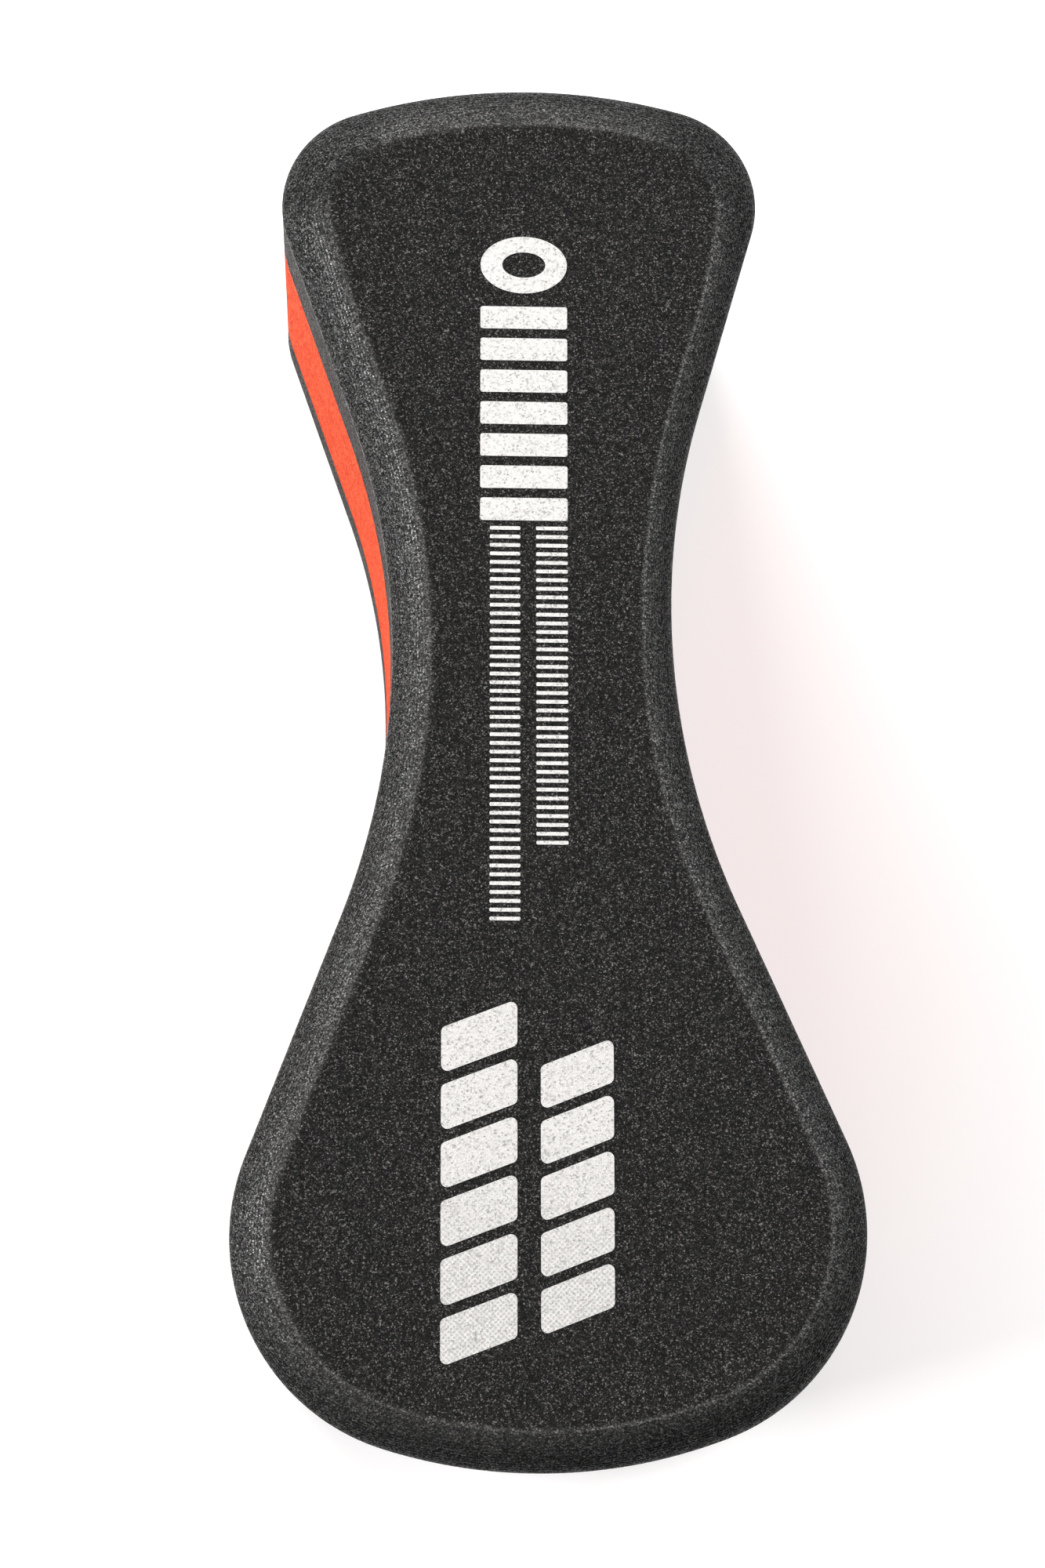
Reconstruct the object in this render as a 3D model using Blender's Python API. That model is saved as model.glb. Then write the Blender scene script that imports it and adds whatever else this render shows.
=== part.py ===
"""Pull buoy: a figure-of-eight swimming float laminated from three layers of closed-cell EVA foam.

The buoy lies on the flat face of its rear layer.  The origin is the centre of the footprint on that
face, +Z is the normal of the printed front face, +Y points to the small lobe and +X to the right.
From the bottom up the stack is rear foam layer, rear bond film, core foam layer, front bond film and
front foam layer.  All five share one outline, made of arcs and straight lines that meet tangentially.
"""

import math

import bmesh
import bpy

# Outline, seen along the normal of the faces
LENGTH = 0.230
SMALL_LOBE_WIDTH = 0.0800
LARGE_LOBE_WIDTH = 0.1025
WAIST_WIDTH = 0.0463
WAIST_Y = 0.021                  # the waist sits a little towards the small lobe
SMALL_END_RADIUS = 0.098         # the broad arc across the small end
SMALL_CORNER_RADIUS = 0.017
WAIST_RADIUS = 0.120             # the hollow that a thigh presses into
LARGE_CORNER_RADIUS = 0.035
LARGE_END_RADIUS = 0.085         # the broad arc across the large end

# Thicknesses, from the bottom up
REAR_LAYER_THICKNESS = 0.015
CORE_THICKNESS = 0.045
FRONT_LAYER_THICKNESS = 0.022
BOND_FILM_THICKNESS = 0.0004
CLEARANCE = 0.0003               # left between a bond film and each foam face that it touches

# Routed shoulder round the outer edge of both outer layers: half of a superellipse in section
SHOULDER_INSET = 0.0065          # measured across the face
SHOULDER_DEPTH = 0.0062          # measured down the wall
SHOULDER_EXPONENT = 1.45         # 2 is a true quarter ellipse, 1 a straight chamfer
SHOULDER_STEPS = 6

# How finely each arc is divided
ARC_STEPS = {"small_end": 10, "small_corner": 10, "waist": 18, "large_corner": 16, "large_end": 10}
SAME_POINT = 0.0003              # arcs whose ends lie closer than this share one point
SHARP_EDGE = math.radians(30)    # edges that turn by more than this stay crisp in the shading

# Colour and roughness of each material
FOAM_BLACK = (0.020, 0.020, 0.022)
FOAM_BLACK_ROUGHNESS = 0.85
FOAM_RED = (0.830, 0.075, 0.028)
FOAM_RED_ROUGHNESS = 0.80
BOND_AMBER = (0.120, 0.070, 0.035)
BOND_ROUGHNESS = 0.55


def arc(centre, radius, start, end, steps):
    """Points along an arc, both ends included."""
    angles = [start + (end - start) * i / steps for i in range(steps + 1)]
    return [(centre[0] + radius * math.cos(a), centre[1] + radius * math.sin(a)) for a in angles]


def side_arcs():
    """Centres and end angles of the arcs on the +X side, from the small end round to the large end."""
    small_end = (0.0, LENGTH / 2 - SMALL_END_RADIUS)
    large_end = (0.0, LARGE_END_RADIUS - LENGTH / 2)
    small_x = SMALL_LOBE_WIDTH / 2 - SMALL_CORNER_RADIUS
    large_x = LARGE_LOBE_WIDTH / 2 - LARGE_CORNER_RADIUS
    # a corner arc touches its end arc from inside, so the centres are one radius difference apart
    small_y = small_end[1] + math.sqrt((SMALL_END_RADIUS - SMALL_CORNER_RADIUS) ** 2 - small_x ** 2)
    large_y = large_end[1] - math.sqrt((LARGE_END_RADIUS - LARGE_CORNER_RADIUS) ** 2 - large_x ** 2)
    waist = (WAIST_WIDTH / 2 + WAIST_RADIUS, WAIST_Y)
    small_turn = math.atan2(small_y - small_end[1], small_x)
    large_turn = math.atan2(large_y - large_end[1], large_x)
    # the straight flank between two arcs on opposite sides of it is their inner common tangent
    small_dx, small_dy = waist[0] - small_x, waist[1] - small_y
    large_dx, large_dy = waist[0] - large_x, waist[1] - large_y
    small_flank = math.atan2(small_dy, small_dx) + math.acos(
        (SMALL_CORNER_RADIUS + WAIST_RADIUS) / math.hypot(small_dx, small_dy))
    large_flank = math.atan2(large_dy, large_dx) - math.acos(
        (LARGE_CORNER_RADIUS + WAIST_RADIUS) / math.hypot(large_dx, large_dy))
    return [
        ("small_end", small_end, SMALL_END_RADIUS, math.pi / 2, small_turn),
        ("small_corner", (small_x, small_y), SMALL_CORNER_RADIUS, small_turn, small_flank),
        ("waist", waist, -WAIST_RADIUS, small_flank, large_flank),
        ("large_corner", (large_x, large_y), LARGE_CORNER_RADIUS, large_flank, large_turn),
        ("large_end", large_end, LARGE_END_RADIUS, large_turn, -math.pi / 2),
    ]


def outline(inset):
    """Closed anticlockwise outline, moved inwards by inset; every inset gives the same point count."""
    right = []
    for name, centre, radius, start, end in side_arcs():
        points = arc(centre, radius - inset, start, end, ARC_STEPS[name])
        if right and math.dist(right[-1], points[0]) < SAME_POINT:
            points = points[1:]
        right += points
    left = [(-x, y) for x, y in reversed(right[1:-1])]
    return list(reversed(right + left))


def stacked_solid(name, sections, material):
    """Closed solid through sections (inset, z), given from the lowest to the highest."""
    bm = bmesh.new()
    rings = []
    for inset, z in sections:
        ring = [bm.verts.new((x, y, z)) for x, y in outline(inset)]
        rings.append(ring)
    count = len(rings[0])
    for lower, upper in zip(rings, rings[1:]):
        for i in range(count):
            j = (i + 1) % count
            bm.faces.new((lower[i], lower[j], upper[j], upper[i]))
    bm.faces.new(list(reversed(rings[0])))
    bm.faces.new(rings[-1])
    mesh = bpy.data.meshes.new(name)
    bm.to_mesh(mesh)
    bm.free()
    mesh.shade_smooth()
    mesh.set_sharp_from_angle(angle=SHARP_EDGE)
    mesh.materials.append(material)
    node = bpy.data.objects.new(name, mesh)
    bpy.context.scene.collection.objects.link(node)
    return node


def principled(name, colour, roughness):
    material = bpy.data.materials.new(name)
    material.use_nodes = True
    shader = material.node_tree.nodes["Principled BSDF"]
    shader.inputs["Base Color"].default_value = (*colour, 1.0)
    shader.inputs["Roughness"].default_value = roughness
    shader.inputs["Metallic"].default_value = 0.0
    return material


def shouldered_sections(bond_z, face_z):
    """Sections of an outer layer from its bond face to its outer face, with the routed shoulder."""
    outward = math.copysign(1.0, face_z - bond_z)
    sections = [(0.0, bond_z)]
    for i in range(SHOULDER_STEPS + 1):
        angle = math.pi / 2 * i / SHOULDER_STEPS
        inset = SHOULDER_INSET * (1.0 - math.cos(angle) ** (2.0 / SHOULDER_EXPONENT))
        rise = SHOULDER_DEPTH * math.sin(angle) ** (2.0 / SHOULDER_EXPONENT)
        sections.append((inset, face_z + outward * (rise - SHOULDER_DEPTH)))
    return sections if outward > 0 else sections[::-1]


def build():
    for leftover in list(bpy.data.objects):
        bpy.data.objects.remove(leftover, do_unlink=True)

    film_pitch = CLEARANCE + BOND_FILM_THICKNESS + CLEARANCE
    core_low = REAR_LAYER_THICKNESS + film_pitch
    core_high = core_low + CORE_THICKNESS
    front_low = core_high + film_pitch
    front_high = front_low + FRONT_LAYER_THICKNESS

    black = principled("black_eva_foam", FOAM_BLACK, FOAM_BLACK_ROUGHNESS)
    red = principled("red_eva_foam", FOAM_RED, FOAM_RED_ROUGHNESS)
    bond = principled("bond_adhesive", BOND_AMBER, BOND_ROUGHNESS)

    stacked_solid("rear_foam_layer", shouldered_sections(REAR_LAYER_THICKNESS, 0.0), black)
    rear_film_low = REAR_LAYER_THICKNESS + CLEARANCE
    stacked_solid(
        "rear_bond_film", [(0.0, rear_film_low), (0.0, rear_film_low + BOND_FILM_THICKNESS)], bond)
    stacked_solid("core_foam_layer", [(0.0, core_low), (0.0, core_high)], red)
    front_film_low = core_high + CLEARANCE
    stacked_solid(
        "front_bond_film", [(0.0, front_film_low), (0.0, front_film_low + BOND_FILM_THICKNESS)], bond)
    stacked_solid("front_foam_layer", shouldered_sections(front_low, front_high), black)


build()
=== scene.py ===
import math

import bmesh
import bpy
import numpy as np
from mathutils import Matrix, Vector


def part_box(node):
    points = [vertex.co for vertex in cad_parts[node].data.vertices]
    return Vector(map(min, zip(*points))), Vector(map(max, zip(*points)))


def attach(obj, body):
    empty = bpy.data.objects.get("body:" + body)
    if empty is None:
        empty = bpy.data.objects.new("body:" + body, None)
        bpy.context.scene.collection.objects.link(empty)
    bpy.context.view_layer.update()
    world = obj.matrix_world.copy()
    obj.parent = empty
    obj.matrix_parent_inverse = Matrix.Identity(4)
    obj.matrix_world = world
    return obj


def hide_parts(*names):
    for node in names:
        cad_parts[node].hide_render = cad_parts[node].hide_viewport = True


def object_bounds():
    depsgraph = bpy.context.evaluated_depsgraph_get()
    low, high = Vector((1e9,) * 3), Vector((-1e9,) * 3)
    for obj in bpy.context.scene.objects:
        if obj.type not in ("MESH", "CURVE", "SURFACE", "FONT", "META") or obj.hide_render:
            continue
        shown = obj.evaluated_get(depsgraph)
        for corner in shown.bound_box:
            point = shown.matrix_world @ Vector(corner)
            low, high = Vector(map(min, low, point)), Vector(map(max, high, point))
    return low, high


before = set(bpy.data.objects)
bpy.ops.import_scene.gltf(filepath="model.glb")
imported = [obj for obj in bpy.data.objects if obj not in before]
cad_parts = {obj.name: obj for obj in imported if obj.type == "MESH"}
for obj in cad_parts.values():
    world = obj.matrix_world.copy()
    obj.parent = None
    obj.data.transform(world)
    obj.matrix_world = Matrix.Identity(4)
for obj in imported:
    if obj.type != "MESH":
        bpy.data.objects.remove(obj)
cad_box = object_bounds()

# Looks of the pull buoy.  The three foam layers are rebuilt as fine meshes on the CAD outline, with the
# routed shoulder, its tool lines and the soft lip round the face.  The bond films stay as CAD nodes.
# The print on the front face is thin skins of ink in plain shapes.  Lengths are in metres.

# ---------------------------------------------------------------- dimensions

LOW, HIGH = (Vector(corner) for corner in cad_box)
LENGTH = HIGH.y - LOW.y
FACE_Z = HIGH.z

# The CAD outline: tangent arcs and straight flanks, as in the part's own source
SMALL_LOBE_WIDTH = 0.0800
LARGE_LOBE_WIDTH = 0.1025
WAIST_WIDTH = 0.0463
WAIST_Y = 0.021
SMALL_END_RADIUS = 0.098
SMALL_CORNER_RADIUS = 0.017
WAIST_RADIUS = 0.120
LARGE_CORNER_RADIUS = 0.035
LARGE_END_RADIUS = 0.085
ALONG_STEP = 0.0008              # spacing of mesh points along the outline

# Section of an outer layer
SHOULDER_INSET = 0.0060          # measured across the face
SMALL_END_EXTRA = 0.0018         # the shoulder is wider by this across the small end
SMALL_CORNER_EXTRA = 0.0008      # and by this again round its two corners
LARGE_END_EXTRA = 0.0006
RIGHT_NECK_LESS = 0.0012         # and narrower by this along the +X side of the neck
SHOULDER_DEPTH = 0.0062          # measured down the wall
SHOULDER_EXPONENT = 1.45         # 2 is a true quarter ellipse, 1 a straight chamfer
TOOL_PITCH = 0.00062             # step-over of the ball cutter that routs the shoulder
GROOVE_DEPTH = 0.000063          # of the lines that it leaves there
WALL_LINE_DEPTH = 0.000036       # of the fainter lines on the sawn walls
EDGE_ROUND = 0.00035             # softened edge at each bond line
LIP_HEIGHT = 0.00006             # the faint swelling of the foam at the edge of the face
SWELL_WIDTH = 0.0026
SHOULDER_SHEEN_REACH = 0.0040            # how far the pale band, a painted sheen, reaches from that edge down the shoulder
FACE_BAND_REACH = 0.0006                # and how far over the face
LIP_LINE = 0.00028               # half the width of the fine bright line inside that band: rubbed wear and a painted highlight
RIDGE_HEIGHT = 0.00006           # the fine ridge that the cutter leaves where the wall meets the shoulder
RIDGE_SPREAD = 0.00028

# How many rings of mesh points each stretch of a section has, and how many columns of faces a cap
EDGE_RINGS = 5
WALL_RINGS = 40
RIDGE_RINGS = 8
SHOULDER_RINGS = 76
SWELL_RINGS = 21
CORE_WALL_RINGS = 72
BOND_CAP_COLUMNS = 3
FACE_CAP_COLUMNS = 24

# Foam cells
COARSE_CELL = 0.00024            # in the black foam
FINE_CELL = 0.00016
RED_COARSE_CELL = 0.00032
RED_FINE_CELL = 0.00018
SAW_STREAK_WIDTH = 0.00050       # upright streaks on the sawn walls
SAW_STREAK_RATIO = 4.0           # of their length to their width
GREY_WARMTH = 0.03               # how far red is above, and blue below, the level of a grey

# Ink
INK_THICKNESS = 0.00006
INK_SINK = 0.00002               # how far the ink skin reaches into the foam
PRINT_TURN = math.radians(1.6)   # the print isn't quite square to the outline
PRINT_X = -0.0023                # the print's centre line at mid length
INK_PORE = 0.00028               # size of the foam's pores as they show in the ink
SCREEN_PITCH = 0.00062           # of the halftone dots
FADE_START_Y = -0.060            # where the dots begin
FADE_LENGTH = 0.025              # and how far on they are at full strength
CORNER_STEPS = 5
OVAL_STEPS = 72

# Studio
FLOOR_RADIUS = 1.2
FLOOR_WHITE = 0.96
FLOOR_GLOW = 0.10                # lifts the shadow a little
LAMP_DISTANCE = 2.0
LAMP_SIZE = (1.15, 0.95)
FILL_STRENGTH = 0.10             # how strongly the surround lights the object
SURROUND_STRENGTH = 0.95         # and how bright it looks
LENS = 75.6                      # millimetres, as the sensor's width is
SENSOR_WIDTH = 36.0
CAMERA_PLACE = Vector((-0.0345, -0.0928, 0.6096))
CAMERA_AIM = Vector((-0.0027, -0.0052, 0.0840))
CAMERA_ROLL = math.radians(-1.65)


# ---------------------------------------------------------------- outline

def arc_run(centre, radius, start, end):
    """Points and inward normals along an arc; a negative radius is a hollow one."""
    steps = max(2, math.ceil(abs(radius * (end - start)) / ALONG_STEP))
    angle = np.linspace(start, end, steps + 1)
    ray = np.c_[np.cos(angle), np.sin(angle)]
    return np.array(centre) + radius * ray, -ray


def line_run(start, end, normal):
    """Points strictly between two points, with the one inward normal."""
    steps = max(1, math.ceil(np.linalg.norm(end - start) / ALONG_STEP))
    share = np.linspace(0.0, 1.0, steps + 1)[1:-1, None]
    return start + share * (end - start), np.repeat(normal[None], len(share), axis=0)


def half_outline():
    """The +X side from the middle of the small end to the middle of the large end."""
    small_end = (0.0, LENGTH / 2 - SMALL_END_RADIUS)
    large_end = (0.0, LARGE_END_RADIUS - LENGTH / 2)
    small_x = SMALL_LOBE_WIDTH / 2 - SMALL_CORNER_RADIUS
    large_x = LARGE_LOBE_WIDTH / 2 - LARGE_CORNER_RADIUS
    small_y = small_end[1] + math.sqrt((SMALL_END_RADIUS - SMALL_CORNER_RADIUS) ** 2 - small_x ** 2)
    large_y = large_end[1] - math.sqrt((LARGE_END_RADIUS - LARGE_CORNER_RADIUS) ** 2 - large_x ** 2)
    waist = (WAIST_WIDTH / 2 + WAIST_RADIUS, WAIST_Y)
    small_turn = math.atan2(small_y - small_end[1], small_x)
    large_turn = math.atan2(large_y - large_end[1], large_x)
    small_dx, small_dy = waist[0] - small_x, waist[1] - small_y
    large_dx, large_dy = waist[0] - large_x, waist[1] - large_y
    small_flank = math.atan2(small_dy, small_dx) + math.acos(
        (SMALL_CORNER_RADIUS + WAIST_RADIUS) / math.hypot(small_dx, small_dy))
    large_flank = math.atan2(large_dy, large_dx) - math.acos(
        (LARGE_CORNER_RADIUS + WAIST_RADIUS) / math.hypot(large_dx, large_dy))
    arcs = [
        arc_run(small_end, SMALL_END_RADIUS, math.pi / 2, small_turn),
        arc_run((small_x, small_y), SMALL_CORNER_RADIUS, small_turn, small_flank),
        arc_run(waist, -WAIST_RADIUS, small_flank, large_flank),
        arc_run((large_x, large_y), LARGE_CORNER_RADIUS, large_flank, large_turn),
        arc_run(large_end, LARGE_END_RADIUS, large_turn, -math.pi / 2),
    ]
    points, normals = arcs[0]
    for more_points, more_normals in arcs[1:]:
        gap = np.linalg.norm(more_points[0] - points[-1])
        if gap > ALONG_STEP:
            flank, flank_normals = line_run(points[-1], more_points[0], normals[-1])
            points, normals = np.vstack([points, flank]), np.vstack([normals, flank_normals])
        else:
            more_points, more_normals = more_points[1:], more_normals[1:]
        points, normals = np.vstack([points, more_points]), np.vstack([normals, more_normals])
    return points, normals


HALF_POINTS, HALF_NORMALS = half_outline()
HALF_COUNT = len(HALF_POINTS)
MIRROR = np.array([-1.0, 1.0])
# anticlockwise from the middle of the small end: down the -X side, back up the +X side
OUTLINE = np.vstack([HALF_POINTS * MIRROR, HALF_POINTS[-2:0:-1]])
INWARD = np.vstack([HALF_NORMALS * MIRROR, HALF_NORMALS[-2:0:-1]])
LOOP_COUNT = len(OUTLINE)


def smoothstep(value, low, high):
    share = np.clip((value - low) / (high - low), 0.0, 1.0)
    return share * share * (3.0 - 2.0 * share)


def small_corners():
    """1 round the two corners of the small lobe and 0 elsewhere, point by point round the outline."""
    x, y = OUTLINE.T
    return smoothstep(np.abs(x), 0.020, 0.031) * smoothstep(y, 0.084, 0.098)


def shoulder_inset():
    """How far the shoulder reaches in over the face, point by point round the outline."""
    x, y = OUTLINE.T
    small_end = smoothstep(y, 0.070, 0.108)
    right_neck = smoothstep(x, 0.0, 0.02) * smoothstep(y, -0.010, 0.040) * (1.0 - small_end)
    large_end = smoothstep(-y, 0.050, 0.100)
    wider = SMALL_END_EXTRA * small_end + SMALL_CORNER_EXTRA * small_corners() + LARGE_END_EXTRA * large_end
    return SHOULDER_INSET + wider - RIGHT_NECK_LESS * right_neck


# ---------------------------------------------------------------- meshes

def cap_faces(ring_start, first_new, columns):
    """Faces across a ring: rows join each point of the -X side to its mirror on the +X side."""
    last = HALF_COUNT - 1
    rows = []
    for i in range(1, last):
        inner = [first_new + (i - 1) * (columns - 1) + k for k in range(columns - 1)]
        rows.append([ring_start + i] + inner + [ring_start + LOOP_COUNT - i])
    faces = []
    for upper, lower in zip(rows, rows[1:]):
        for k in range(columns):
            faces.append((upper[k], lower[k], lower[k + 1], upper[k + 1]))
    for k in range(columns):
        faces.append((ring_start, rows[0][k], rows[0][k + 1]))
        faces.append((ring_start + last, rows[-1][k + 1], rows[-1][k]))
    return faces


def cap_points(ring, columns):
    """The new points inside a cap, row by row."""
    last = HALF_COUNT - 1
    left = ring[1:last]
    right = ring[LOOP_COUNT - np.arange(1, last)]
    share = np.linspace(0.0, 1.0, columns + 1)[1:-1]
    rows = left[:, None, :] * (1 - share[None, :, None]) + right[:, None, :] * share[None, :, None]
    return rows.reshape(-1, 3)


def layered_solid(name, rings, traits, low_columns, high_columns):
    """Closed mesh through stacked rings, lowest first.

    traits holds named lists with an entry for each ring: one value, or one for each point of the ring.
    """
    count = len(rings)
    points = np.vstack(rings)
    low_start = len(points)
    low_cap = cap_points(rings[0], low_columns)
    high_start = low_start + len(low_cap)
    high_cap = cap_points(rings[-1], high_columns)
    vertices = np.vstack([points, low_cap, high_cap])
    here = np.arange(LOOP_COUNT)
    after = np.roll(here, -1)
    faces = []
    for level in range(count - 1):
        low, high = level * LOOP_COUNT, (level + 1) * LOOP_COUNT
        faces += np.c_[low + here, low + after, high + after, high + here].tolist()
    faces += [tuple(reversed(f)) for f in cap_faces(0, low_start, low_columns)]
    faces += cap_faces((count - 1) * LOOP_COUNT, high_start, high_columns)
    mesh = bpy.data.meshes.new(name)
    mesh.from_pydata(vertices.tolist(), [], faces)
    mesh.validate()
    mesh.shade_smooth()
    # a cap takes the mean of its ring's values
    for trait, per_ring in traits.items():
        values = [np.broadcast_to(value, LOOP_COUNT) for value in per_ring]
        ends = [np.full(len(low_cap), values[0].mean()), np.full(len(high_cap), values[-1].mean())]
        attribute = mesh.attributes.new(trait, "FLOAT", "POINT")
        attribute.data.foreach_set("value", np.concatenate([*values, *ends]).astype(np.float32))
    piece = bpy.data.objects.new(name, mesh)
    bpy.context.scene.collection.objects.link(piece)
    return piece


def ring_at(inset, z):
    """One ring of the outline, moved inwards by inset, at height z; both may vary round the outline."""
    xy = OUTLINE + INWARD * np.broadcast_to(inset, LOOP_COUNT)[:, None]
    return np.c_[xy, np.broadcast_to(z, LOOP_COUNT)]


def rounded_edge():
    """(inset, rise) of each ring round the softened edge at a bond line."""
    angles = np.linspace(0.0, math.pi / 2, EDGE_RINGS)
    return [(EDGE_ROUND * (1 - math.sin(angle)), EDGE_ROUND * (1 - math.cos(angle))) for angle in angles]


def wall_line(height, spacing):
    """Depth of the faint level lines on a sawn wall, at a height above its lower bond line."""
    return WALL_LINE_DEPTH * (1 - abs(math.sin(math.pi * height / spacing)))


def wear_and_sheen(distance, spread):
    """How strongly the foam is painted pale, from the distance to the edge of the face.

    A wide band of painted sheen, and a fine line of rubbed wear with a painted highlight.
    """
    return 0.55 * math.exp(-(distance / spread) ** 2) + 0.45 * math.exp(-(distance / LIP_LINE) ** 2)


def outer_layer_sections(thickness):
    """(inset, height, cut, lip, sawn, ridge) from the bond face to the outer face of an outer layer.

    The last four say what the foam is like there: cut on the wall and the shoulder, sawn on the wall,
    lip where the edge of the face is painted pale, partly rubbed wear and partly painted sheen, and ridge
    on the fine crest between wall and shoulder.
    """
    reach = shoulder_inset()
    # the pale lip band, with its painted sheen and highlight, fades round the small corners, where the
    # light glances past
    sheen_share = 1.0 - 0.75 * small_corners()
    sections = [(inset, height, 1.0, 0.0, 1.0, 0.0) for inset, height in rounded_edge()]
    wall_top = thickness - SHOULDER_DEPTH
    even_heights = np.linspace(EDGE_ROUND, wall_top, WALL_RINGS)[1:-1]
    ridge_heights = wall_top - RIDGE_SPREAD * np.linspace(2.0, 0.25, RIDGE_RINGS)
    for height in sorted([*even_heights, *ridge_heights]):
        ridge = math.exp(-((wall_top - height) / RIDGE_SPREAD) ** 2)
        inset = wall_line(height, 2 * TOOL_PITCH) - RIDGE_HEIGHT * ridge
        sections.append((inset, height, 1.0, 0.0, 1.0, ridge))
    run, rise, travelled = shoulder_curve(float(reach.mean()))
    length = travelled[-1]
    for across, up, along in zip(run, rise, travelled):
        ends = math.sin(math.pi * along / length) ** 0.5 if 0 < along < length else 0.0
        line = ends * (1 - abs(math.sin(math.pi * along / TOOL_PITCH)))
        groove = GROOVE_DEPTH * line
        ridge = math.exp(-(along / RIDGE_SPREAD) ** 2)
        lip = sheen_share * wear_and_sheen(length - along, SHOULDER_SHEEN_REACH)
        inset = reach * across + groove - RIDGE_HEIGHT * ridge
        height = wall_top + SHOULDER_DEPTH * up - groove
        # the tool lines are also painted into the colour as painted shading: each groove moves the
        # shoulder's colour halfway to the face's
        sections.append((inset, height, 1.0 - 0.5 * line, lip, 0.0, ridge))
    for step in SWELL_WIDTH * np.linspace(0.0, 1.0, SWELL_RINGS)[1:] ** 1.5:
        lip = sheen_share * wear_and_sheen(step, FACE_BAND_REACH)
        cut = math.exp(-(step / FACE_BAND_REACH) ** 2)
        swell = LIP_HEIGHT * math.sin(math.pi * step / SWELL_WIDTH) ** 2
        sections.append((reach + step, thickness + swell, cut, lip, 0.0, 0.0))
    return sections


def shoulder_curve(reach):
    """Shares of the inset and the depth along the shoulder, and the distance travelled, evenly spaced."""
    angle = np.linspace(0.0, math.pi / 2, 2000)
    run = 1 - np.cos(angle) ** (2 / SHOULDER_EXPONENT)
    rise = np.sin(angle) ** (2 / SHOULDER_EXPONENT)
    travelled = np.r_[0.0, np.cumsum(np.hypot(np.diff(run) * reach, np.diff(rise) * SHOULDER_DEPTH))]
    even = np.linspace(0.0, travelled[-1], SHOULDER_RINGS)
    return np.interp(even, travelled, run), np.interp(even, travelled, rise), even


def outer_layer(name, node, upwards):
    """One black outer layer, on the CAD node that it stands for."""
    low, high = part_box(node)
    sections = outer_layer_sections(high.z - low.z)
    rings = []
    for inset, height, *_ in sections:
        rings.append(ring_at(inset, low.z + height if upwards else high.z - height))
    columns = (BOND_CAP_COLUMNS, FACE_CAP_COLUMNS)
    if not upwards:
        sections, rings, columns = sections[::-1], rings[::-1], columns[::-1]
    traits = {}
    for i, trait in enumerate(("cut", "lip", "sawn", "ridge"), start=2):
        traits[trait] = [section[i] for section in sections]
    return layered_solid(name, rings, traits, *columns)


def core_layer(name, node):
    """The thick red middle layer, with faint lines left by the saw along its wall."""
    low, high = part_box(node)
    sections = [(inset, low.z + rise) for inset, rise in rounded_edge()]
    for z in np.linspace(low.z + EDGE_ROUND, high.z - EDGE_ROUND, CORE_WALL_RINGS)[1:-1]:
        sections.append((wall_line(z - low.z, 3 * TOOL_PITCH), z))
    sections += [(inset, high.z - rise) for inset, rise in reversed(rounded_edge())]
    rings = [ring_at(inset, z) for inset, z in sections]
    return layered_solid(name, rings, {}, BOND_CAP_COLUMNS, BOND_CAP_COLUMNS)


# ---------------------------------------------------------------- print

def print_place(across, along):
    """Where a point of the print, given across and along its own centre line, lies on the face."""
    turned_x = across * math.cos(PRINT_TURN) + along * math.sin(PRINT_TURN)
    turned_y = along * math.cos(PRINT_TURN) - across * math.sin(PRINT_TURN)
    return PRINT_X + turned_x, turned_y


def rounded(corners, radius):
    """A closed anticlockwise polygon with its corners rounded."""
    points = []
    for i, corner in enumerate(corners):
        here = Vector(corner)
        before = (Vector(corners[i - 1]) - here).normalized()
        after = (Vector(corners[(i + 1) % len(corners)]) - here).normalized()
        half = before.angle(after) / 2
        centre = here + (before + after).normalized() * (radius / math.sin(half))
        start = here + before * (radius / math.tan(half)) - centre
        end = here + after * (radius / math.tan(half)) - centre
        turn = start.angle_signed(end)
        for k in range(CORNER_STEPS + 1):
            points.append(tuple(centre + Matrix.Rotation(-turn * k / CORNER_STEPS, 2) @ start))
    return points


def ink_piece(name, outlines, material):
    """Thin skins of ink on the front face, one for each closed outline; a pair of outlines is a ring."""
    bm = bmesh.new()
    low, high = FACE_Z - INK_SINK, FACE_Z + INK_THICKNESS

    def ring(outline, z):
        return [bm.verts.new((*print_place(*point), z)) for point in outline]

    def band(first, second):
        for i in range(len(first)):
            j = (i + 1) % len(first)
            bm.faces.new((first[i], first[j], second[j], second[i]))

    for shape in outlines:
        if isinstance(shape, tuple):
            outer, inner = shape
            outer_low, outer_high = ring(outer, low), ring(outer, high)
            inner_low, inner_high = ring(inner, low), ring(inner, high)
            band(outer_low, outer_high)
            band(outer_high, inner_high)
            band(inner_high, inner_low)
            band(inner_low, outer_low)
        else:
            below, above = ring(shape, low), ring(shape, high)
            band(below, above)
            bm.faces.new(above)
            bm.faces.new(list(reversed(below)))
    bmesh.ops.recalc_face_normals(bm, faces=bm.faces)
    mesh = bpy.data.meshes.new(name)
    bm.to_mesh(mesh)
    bm.free()
    mesh.materials.append(material)
    piece = bpy.data.objects.new(name, mesh)
    bpy.context.scene.collection.objects.link(piece)
    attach(piece, "root")
    return piece


def oval(centre, width, height):
    angles = [2 * math.pi * i / OVAL_STEPS for i in range(OVAL_STEPS)]
    return [(centre[0] + width / 2 * math.cos(a), centre[1] + height / 2 * math.sin(a)) for a in angles]


def bar(across, along, width, height, slant, radius):
    """A rounded bar across the print; slant lifts its right end."""
    left, right = across - width / 2, across + width / 2
    low, high = along - height / 2, along + height / 2
    lift = slant / 2
    corners = [(left, low - lift), (right, low + lift), (right, high + lift), (left, high - lift)]
    return rounded(corners, radius)


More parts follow.
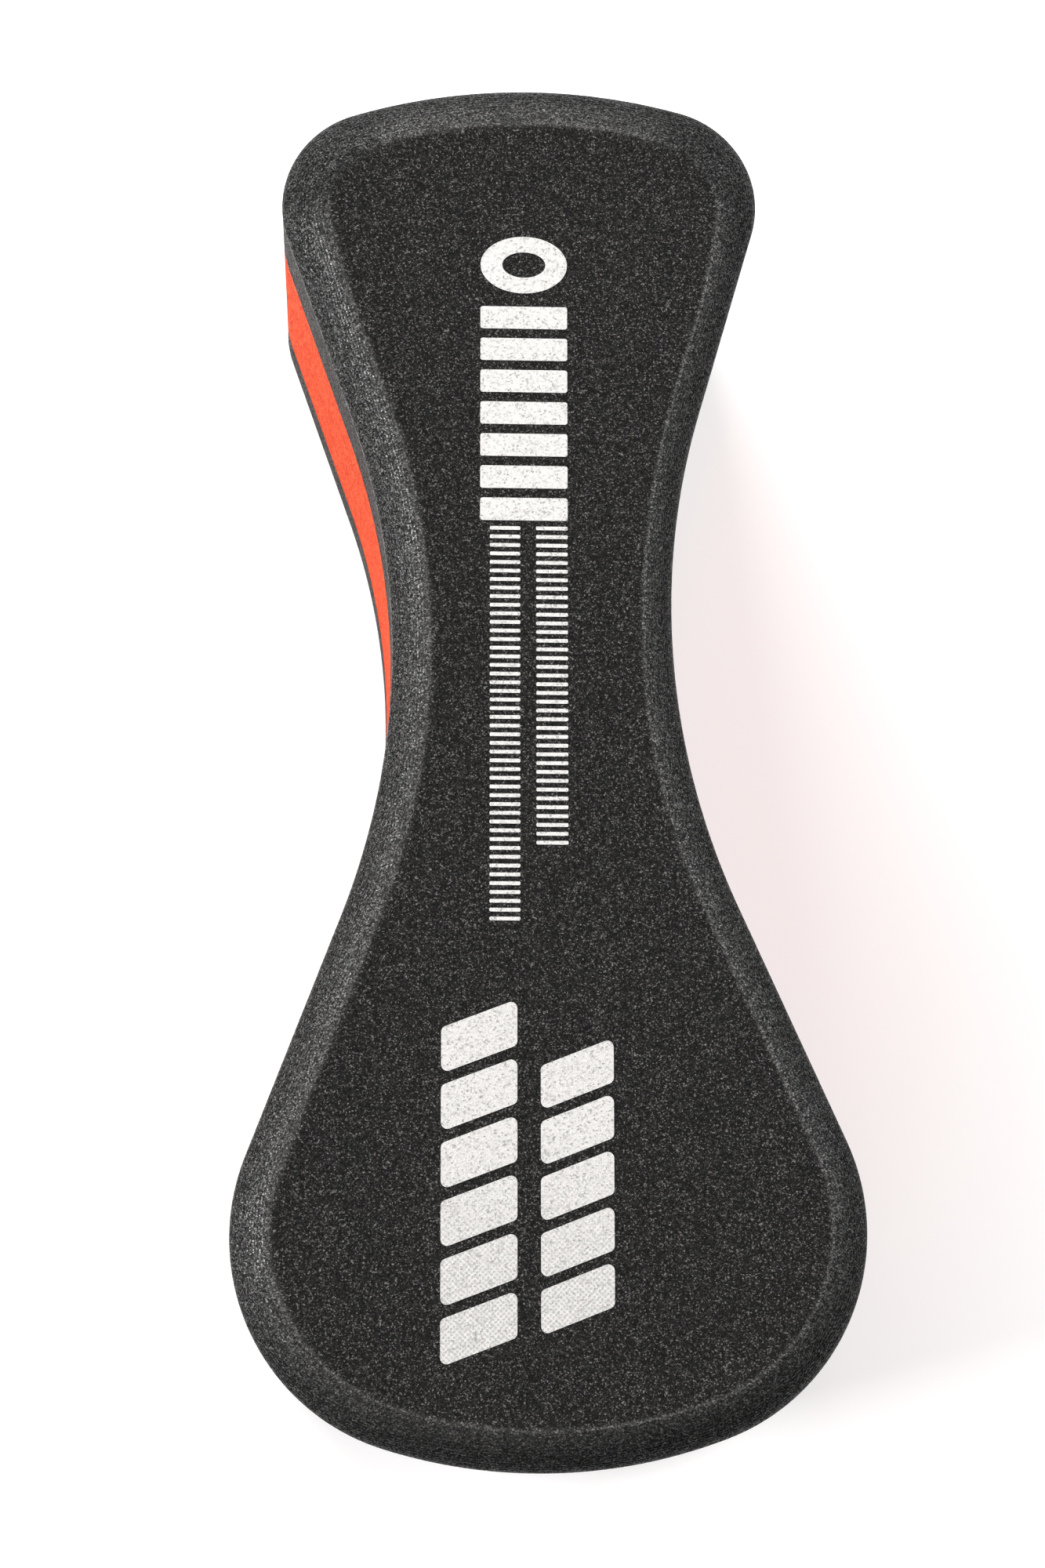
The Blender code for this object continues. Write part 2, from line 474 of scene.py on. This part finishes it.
def row_of_bars(across, top, bottom, count, width, fill, slant=0.0, radius=0.0004):
    """Equal bars down the print from top to bottom; fill is the share of each pitch that is ink."""
    pitch = (top - bottom) / (count - 1 + fill)
    height = pitch * fill
    return [
        bar(across, top - height / 2 - pitch * i, width, height, slant, radius) for i in range(count)]


def build_print(ink, halftone_ink):
    """A ring over a ladder of bars, two columns of fine ticks, and two columns of slanted stripes."""
    middle = (0.0, 0.0824)
    ink_piece("print_ring", [(oval(middle, 0.0144, 0.0098), oval(middle, 0.0072, 0.0044))], ink)
    ladder = row_of_bars(0.0, top=0.0752, bottom=0.0387, count=7, width=0.0144, fill=0.70)
    ink_piece("print_ladder", ladder, ink)
    ticks = {"top": 0.0377, "fill": 0.42, "radius": 0.0002}
    left = row_of_bars(-0.0031, bottom=-0.0275, count=46, width=0.0050, **ticks)
    ink_piece("print_ticks_left", left, ink)
    right = row_of_bars(0.0046, bottom=-0.0151, count=37, width=0.0052, **ticks)
    ink_piece("print_ticks_right", right, ink)
    stripes = {"fill": 0.80, "slant": 0.0046, "radius": 0.0010}
    left = row_of_bars(-0.0072, top=-0.0425, bottom=-0.0960, count=6, width=0.0122, **stripes)
    ink_piece("print_stripes_left", left, halftone_ink)
    right = row_of_bars(0.0085, top=-0.0486, bottom=-0.0912, count=5, width=0.0117, **stripes)
    ink_piece("print_stripes_right", right, halftone_ink)


# ---------------------------------------------------------------- materials

class Shading:
    """A material's node tree, with short calls for the nodes that the foams and the ink share."""

    def __init__(self, name, roughness, specular=0.5):
        self.material = bpy.data.materials.new(name)
        self.material.use_nodes = True
        self.nodes = self.material.node_tree.nodes
        self.links = self.material.node_tree.links
        self.shader = self.nodes["Principled BSDF"]
        self.shader.inputs["Roughness"].default_value = roughness
        self.shader.inputs["Specular IOR Level"].default_value = specular
        self.place = self.nodes.new("ShaderNodeTexCoord").outputs["Object"]

    def link(self, value, socket):
        if isinstance(value, bpy.types.NodeSocket):
            self.links.new(value, socket)
        else:
            socket.default_value = value

    def math(self, operation, a, b=0.0, clamp=False):
        node = self.nodes.new("ShaderNodeMath")
        node.operation = operation
        node.use_clamp = clamp
        self.link(a, node.inputs[0])
        self.link(b, node.inputs[1])
        return node.outputs[0]

    def noise(self, size, detail):
        node = self.nodes.new("ShaderNodeTexNoise")
        node.inputs["Scale"].default_value = 1.0 / size
        node.inputs["Detail"].default_value = detail
        self.link(self.place, node.inputs["Vector"])
        return node.outputs["Fac"]

    def drawn_out(self, factor):
        """Coordinates in which every pattern is longer by the factor through the thickness."""
        node = self.nodes.new("ShaderNodeMapping")
        node.inputs["Scale"].default_value = (1.0, 1.0, 1.0 / factor)
        self.link(self.place, node.inputs["Vector"])
        return node.outputs["Vector"]

    def cells(self, size, place=None):
        """A random value for each foam cell, and the distance from its middle."""
        node = self.nodes.new("ShaderNodeTexVoronoi")
        node.inputs["Scale"].default_value = 1.0 / size
        self.link(place or self.place, node.inputs["Vector"])
        split = self.nodes.new("ShaderNodeSeparateColor")
        self.links.new(node.outputs["Color"], split.inputs[0])
        return split.outputs[0], node.outputs["Distance"]

    def ramp(self, value, stops):
        node = self.nodes.new("ShaderNodeValToRGB")
        points = node.color_ramp.elements
        while len(points) < len(stops):
            points.new(0.5)
        for point, (position, colour) in zip(points, stops):
            point.position = position
            point.color = (*colour, 1.0)
        self.link(value, node.inputs[0])
        return node.outputs["Color"]

    def grey_ramp(self, value, *stops):
        return self.ramp(value, [(position, grey(level)) for position, level in stops])

    def mix(self, factor, a, b):
        node = self.nodes.new("ShaderNodeMix")
        node.data_type = "RGBA"
        self.link(factor, node.inputs["Factor"])
        for value, socket in ((a, node.inputs["A"]), (b, node.inputs["B"])):
            self.link((*value, 1.0) if isinstance(value, tuple) and len(value) == 3 else value, socket)
        return node.outputs["Result"]

    def trait(self, name):
        """A value that layered_solid stored on the mesh."""
        node = self.nodes.new("ShaderNodeAttribute")
        node.attribute_name = name
        return node.outputs["Fac"]

    def bump(self, height, distance, strength):
        node = self.nodes.new("ShaderNodeBump")
        node.inputs["Distance"].default_value = distance
        node.inputs["Strength"].default_value = strength
        self.link(height, node.inputs["Height"])
        self.links.new(node.outputs["Normal"], self.shader.inputs["Normal"])

    def colour(self, value):
        self.link(value, self.shader.inputs["Base Color"])


def grey(value):
    """A grey that is very slightly warm."""
    return (value * (1 + GREY_WARMTH), value, value * (1 - GREY_WARMTH))


def black_foam():
    """Charcoal closed-cell foam.

    The face is speckled, the routed shoulder darker with glossy grains, and the lip round the face paler:
    rubbed wear with a painted sheen and highlight. The sawn wall is paler, partly its streaky cut and
    partly a painted grazing sheen, and the fine crest between wall and shoulder carries a painted
    highlight.
    """
    s = Shading("black_eva_foam", 0.7)
    cut, lip, sawn, ridge = (s.trait(name) for name in ("cut", "lip", "sawn", "ridge"))
    coarse, distance = s.cells(COARSE_CELL)
    fine, _ = s.cells(FINE_CELL)
    grain = s.math("MULTIPLY", s.math("ADD", coarse, fine), 0.5)
    face = s.grey_ramp(grain, (0.10, 0.006), (0.45, 0.012), (0.64, 0.018), (0.78, 0.045), (0.92, 0.165))
    routed = s.grey_ramp(grain, (0.10, 0.003), (0.42, 0.006), (0.62, 0.009), (0.78, 0.018), (0.92, 0.054))
    colour = s.mix(cut, face, routed)
    # the pale lip band: rubbed wear, with a painted sheen down the shoulder and a painted highlight along
    # the edge
    worn_and_sheen = s.grey_ramp(grain, (0.10, 0.019), (0.55, 0.047), (0.78, 0.088), (0.92, 0.205))
    colour = s.mix(s.math("MULTIPLY", lip, 0.8), colour, worn_and_sheen)
    # the sawn wall is painted paler: partly its streaky cut, partly a painted grazing sheen
    streak, _ = s.cells(SAW_STREAK_WIDTH, s.drawn_out(SAW_STREAK_RATIO))
    saw_grain = s.math("ADD", s.math("MULTIPLY", grain, 0.82), s.math("MULTIPLY", streak, 0.18))
    sawn_and_sheen = s.grey_ramp(saw_grain, (0.15, 0.006), (0.45, 0.014), (0.62, 0.030), (0.76, 0.060), (0.90, 0.140))
    colour = s.mix(s.math("MULTIPLY", sawn, 0.8), colour, sawn_and_sheen)
    # painted highlight along the fine crest between wall and shoulder
    crest_highlight = s.grey_ramp(grain, (0.10, 0.040), (0.55, 0.110), (0.92, 0.280))
    colour = s.mix(s.math("MULTIPLY", ridge, 0.7), colour, crest_highlight)
    cloud = s.noise(0.012, 3.0)
    colour = s.mix(s.math("MULTIPLY", cloud, 0.15), colour, grey(0.010))
    s.colour(colour)
    s.link(s.math("SUBTRACT", 0.72, s.math("MULTIPLY", cut, 0.32)), s.shader.inputs["Roughness"])
    # only the brightest grains are glossy: most of all on the pale lip band, least on the sawn walls
    routed_gloss = s.math("ADD", s.math("MULTIPLY", lip, 2.6), 0.5)
    gloss = s.math("ADD", 0.15, s.math("MULTIPLY", routed_gloss, cut))
    gloss = s.math("MULTIPLY", gloss, s.math("SUBTRACT", 1.0, s.math("MULTIPLY", sawn, 0.9)))
    glint = s.math("MULTIPLY", s.math("POWER", grain, 4.0), gloss)
    s.link(s.math("MINIMUM", glint, 1.0), s.shader.inputs["Specular IOR Level"])
    s.bump(s.math("ADD", distance, grain), 0.00005, 0.8)
    return s.material


def red_foam():
    """Vivid orange-red foam: a fine cut grain with faint upright saw streaks and a few pale cells."""
    s = Shading("red_eva_foam", 0.85, 0.06)
    streak, _ = s.cells(SAW_STREAK_WIDTH, s.drawn_out(SAW_STREAK_RATIO))
    coarse, distance = s.cells(RED_COARSE_CELL)
    fine, _ = s.cells(RED_FINE_CELL)
    grain = s.math("MULTIPLY", s.math("ADD", coarse, fine), 0.42)
    grain = s.math("ADD", grain, s.math("MULTIPLY", streak, 0.16))
    colour = s.ramp(grain, [
        (0.20, (0.16, 0.005, 0.001)), (0.40, (0.28, 0.018, 0.004)), (0.50, (0.33, 0.027, 0.006)),
        (0.62, (0.38, 0.041, 0.009)), (0.82, (0.45, 0.118, 0.052))])
    cloud = s.noise(0.004, 4.0)
    colour = s.mix(s.math("MULTIPLY", cloud, 0.20), colour, (0.36, 0.032, 0.007))
    s.colour(colour)
    s.bump(s.math("ADD", distance, grain), 0.00006, 0.6)
    return s.material


def bond_line():
    """Set contact adhesive: a dark line with small glossy beads and dull stretches."""
    s = Shading("bond_adhesive", 0.5, 0.4)
    grain = s.noise(0.0009, 3.0)
    s.colour(s.ramp(grain, [(0.3, (0.010, 0.008, 0.007)), (0.7, (0.050, 0.036, 0.026))]))
    s.link(s.math("ADD", 0.35, s.math("MULTIPLY", grain, 0.4)), s.shader.inputs["Roughness"])
    s.bump(grain, 0.0002, 0.5)
    return s.material


def white_ink(name, cover, halftone):
    """Matt ink.  The foam's pores show as fine dark specks, and halftone ink thins to a dot screen.

    cover is the ink's brightness where no pore breaks it.
    """
    s = Shading(name, 0.70, 0.3)
    value, distance = s.cells(INK_PORE)
    pores = s.grey_ramp(
        value, (0.0, 0.44 * cover), (0.10, 0.66 * cover), (0.35, 0.88 * cover), (1.0, cover))
    colour = pores
    if halftone:
        split = s.nodes.new("ShaderNodeSeparateXYZ")
        s.links.new(s.place, split.inputs[0])
        x, y = split.outputs["X"], split.outputs["Y"]
        turns = math.pi * 2 / (SCREEN_PITCH * math.sqrt(2))
        waves = []
        for combined in (s.math("ADD", x, y), s.math("SUBTRACT", x, y)):
            waves.append(s.math("SINE", s.math("MULTIPLY", combined, turns)))
        screen = s.math("MULTIPLY", s.math("ADD", *waves), 0.5)
        dots = s.math("GREATER_THAN", screen, 0.15)
        fade = s.math("MULTIPLY", s.math("SUBTRACT", FADE_START_Y, y), 1 / FADE_LENGTH, clamp=True)
        colour = s.mix(s.math("MULTIPLY", dots, s.math("MULTIPLY", fade, 0.75)), pores, grey(0.58 * cover))
    s.colour(colour)
    s.bump(s.math("ADD", distance, value), 0.00008, 0.5)
    return s.material


# ---------------------------------------------------------------- pieces

def build_pieces():
    black = black_foam()
    red = red_foam()
    pieces = [
        (outer_layer("rear_foam", "rear_foam_layer", False), "rear_foam_layer", black, "black_foam"),
        (core_layer("core_foam", "core_foam_layer"), "core_foam_layer", red, "red_foam"),
        (outer_layer("front_foam", "front_foam_layer", True), "front_foam_layer", black, "black_foam"),
    ]
    for piece, node, material, slot in pieces:
        piece.data.materials.append(material)
        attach(piece, "root")
        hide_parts(node)
    adhesive = bond_line()
    for node in ("rear_bond_film", "front_bond_film"):
        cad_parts[node].material_slots[0].material = adhesive
    build_print(white_ink("white_ink", 0.61, False), white_ink("white_halftone_ink", 0.57, True))


# ---------------------------------------------------------------- studio

def floor():
    bpy.ops.mesh.primitive_circle_add(
        vertices=128, radius=FLOOR_RADIUS, fill_type="NGON", location=(0, 0, LOW.z))
    disc = bpy.context.object
    disc.name = "studio_floor"
    s = Shading("studio_floor", 0.9, 0.1)
    s.colour((FLOOR_WHITE, FLOOR_WHITE, FLOOR_WHITE, 1.0))
    s.shader.inputs["Emission Color"].default_value = (1.0, 1.0, 1.0, 1.0)
    s.shader.inputs["Emission Strength"].default_value = FLOOR_GLOW
    disc.data.materials.append(s.material)


def softbox(name, azimuth, elevation, energy):
    """A soft area light round the object; azimuth runs anticlockwise from +X, seen from above.

    The angles are in degrees and the energy in watts.
    """
    light = bpy.data.lights.new(name, "AREA")
    light.shape = "RECTANGLE"
    light.size, light.size_y = LAMP_SIZE
    light.energy = energy
    turn, lift = math.radians(azimuth), math.radians(elevation)
    away = Vector((math.cos(lift) * math.cos(turn), math.cos(lift) * math.sin(turn), math.sin(lift)))
    lamp = bpy.data.objects.new(name, light)
    lamp.location = Vector((0.0, 0.0, FACE_Z / 2)) + away * LAMP_DISTANCE
    lamp.rotation_euler = away.to_track_quat("Z", "Y").to_euler()
    bpy.context.scene.collection.objects.link(lamp)


def studio():
    floor()
    softbox("key_left", 180, 18, 94.0)
    softbox("back", 112, 20, 42.0)
    softbox("back_right", 45, 30, 31.0)
    softbox("right_high", 0, 50, 16.0)
    world = bpy.data.worlds.new("studio")
    world.use_nodes = True
    fill = world.node_tree.nodes["Background"]
    fill.inputs["Color"].default_value = (1.0, 1.0, 1.0, 1.0)
    # a pale surround to look at, which gives only a dim fill light
    seen = world.node_tree.nodes.new("ShaderNodeLightPath").outputs["Is Camera Ray"]
    strength = world.node_tree.nodes.new("ShaderNodeMapRange")
    strength.inputs["To Min"].default_value = FILL_STRENGTH
    strength.inputs["To Max"].default_value = SURROUND_STRENGTH
    world.node_tree.links.new(seen, strength.inputs["Value"])
    world.node_tree.links.new(strength.outputs["Result"], fill.inputs["Strength"])
    bpy.context.scene.world = world
    bpy.context.scene.view_settings.view_transform = "Standard"


def camera():
    """Almost straight down on the face, from a little to the left and towards the large lobe."""
    lens = bpy.data.cameras.new("camera")
    lens.lens = LENS
    lens.sensor_width = SENSOR_WIDTH
    back = (CAMERA_PLACE - CAMERA_AIM).normalized()
    right = Vector((0.0, 1.0, 0.0)).cross(back).normalized()
    right = Matrix.Rotation(CAMERA_ROLL, 3, back) @ right
    up = back.cross(right)
    view = bpy.data.objects.new("camera", lens)
    view.matrix_world = Matrix.Translation(CAMERA_PLACE) @ Matrix((right, up, back)).transposed().to_4x4()
    bpy.context.scene.collection.objects.link(view)
    bpy.context.scene.camera = view


camera()
build_pieces()
studio()
